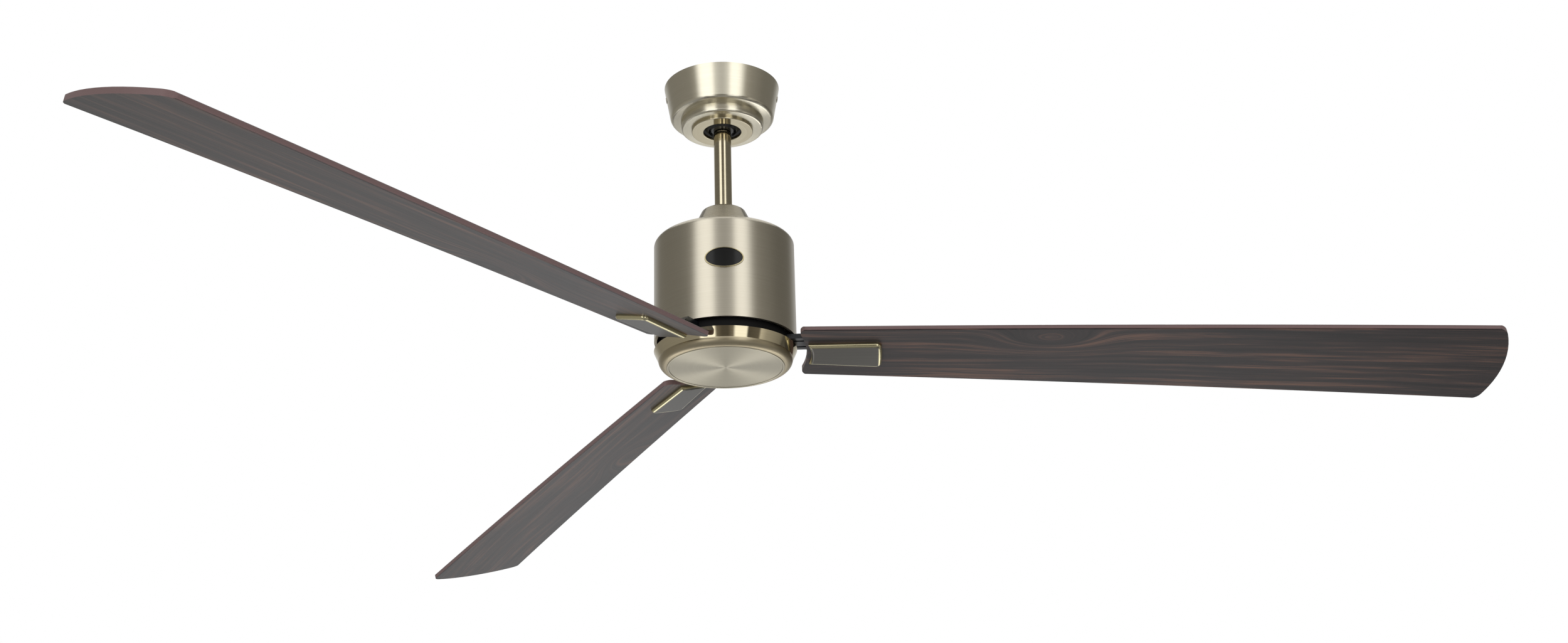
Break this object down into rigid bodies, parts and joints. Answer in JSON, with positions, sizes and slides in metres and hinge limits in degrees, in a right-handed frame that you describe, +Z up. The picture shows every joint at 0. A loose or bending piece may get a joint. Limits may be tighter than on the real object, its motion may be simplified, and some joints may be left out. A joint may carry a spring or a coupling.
{
  "type": "ceiling fan",
  "caption": "Wooden-bladed ceiling fan on a short downrod: stepped canopy, ball hanger, round motor housing, clamped flared blades, flat bottom cap.",
  "frame": {"origin": "middle of the ceiling face of the hanger bracket, on the fan's axis, midway between its two screw holes", "axes": "+Z up towards the ceiling along the fan's axis; X runs along the bracket through both screw holes; the badge is on the -Y side"},
  "size_m": [1.4468, 1.5969, 0.4207],
  "materials": {
    "antique_brass_satin": "satin brushed antique brass plate",
    "antique_brass_bright": "glossy antique brass plate",
    "antique_brass_polished": "polished antique brass plate",
    "antique_brass_spun": "lathe-brushed antique brass plate",
    "antique_brass_plate": "rubbed antique brass plate",
    "zinc_plated_steel": "bright zinc plate",
    "black_painted_steel": "black enamel on pressed steel",
    "white_moulding": "moulded nylon",
    "black_nylon": "moulded, half gloss",
    "black_casting": "black powder coat on a casting",
    "badge_enamel": "gloss black field in a brass rim",
    "bearing_steel": "ground steel",
    "electrical_steel": "stacked steel sheet",
    "enamelled_copper": "enamelled copper wire",
    "circuit_board": "solder-masked glass laminate",
    "cast_aluminium": "as cast",
    "dark_walnut": "dark walnut under half-gloss lacquer"
  },
  "bodies": {
    "ceiling_mount": {"hanger_bracket": "black_painted_steel", "terminal_block": "white_moulding", "canopy": "antique_brass_satin", "canopy_ring": "antique_brass_bright", "canopy_screws": "antique_brass_bright"},
    "hanging_motor": {"hanger_ball": "black_nylon", "ball_pin": "zinc_plated_steel", "downrod": "antique_brass_bright", "coupler_cover": "antique_brass_satin", "yoke": "black_casting", "yoke_set_screw": "zinc_plated_steel", "clevis_pin": "zinc_plated_steel", "retaining_clip": "zinc_plated_steel", "motor_housing": "antique_brass_satin", "housing_screws": "zinc_plated_steel", "badge": "badge_enamel", "stator_shaft": "bearing_steel", "bearing_inner_rings": "bearing_steel", "stator_core": "electrical_steel", "stator_windings": "enamelled_copper", "motor_board": "circuit_board", "cover_carrier": "zinc_plated_steel", "shaft_nut": "zinc_plated_steel", "bottom_bowl": "antique_brass_polished", "cover_screws": "zinc_plated_steel", "bottom_cap": "antique_brass_spun"},
    "rotor": {"bearing_outer_rings": "bearing_steel", "bearing_ball_sets": "bearing_steel", "rotor_upper_shell": "cast_aluminium", "rotor_lower_shell": "cast_aluminium", "rotor_cage": "electrical_steel", "case_screws": "zinc_plated_steel", "blade_hub": "black_casting", "hub_screws": "zinc_plated_steel", "arm_screws": "zinc_plated_steel", "blade_arm_1": "black_casting", "blade_1": "dark_walnut", "clamp_plate_1": "antique_brass_plate", "blade_screws_1": "zinc_plated_steel", "blade_arm_2": "black_casting", "blade_2": "dark_walnut", "clamp_plate_2": "antique_brass_plate", "blade_screws_2": "zinc_plated_steel", "blade_arm_3": "black_casting", "blade_3": "dark_walnut", "clamp_plate_3": "antique_brass_plate", "blade_screws_3": "zinc_plated_steel"}
  },
  "joints": [
    {"name": "hanger_tilt", "type": "hinge", "parent": "ceiling_mount", "child": "hanging_motor", "pos_m": [0, 0, -0.038], "axis": [1, 0, 0], "range_deg": [-15, 15]},
    {"name": "rotor_spin", "type": "hinge", "parent": "hanging_motor", "child": "rotor", "pos_m": [0, 0, -0.355], "axis": [0, 0, 1], "continuous": true}
  ]
}
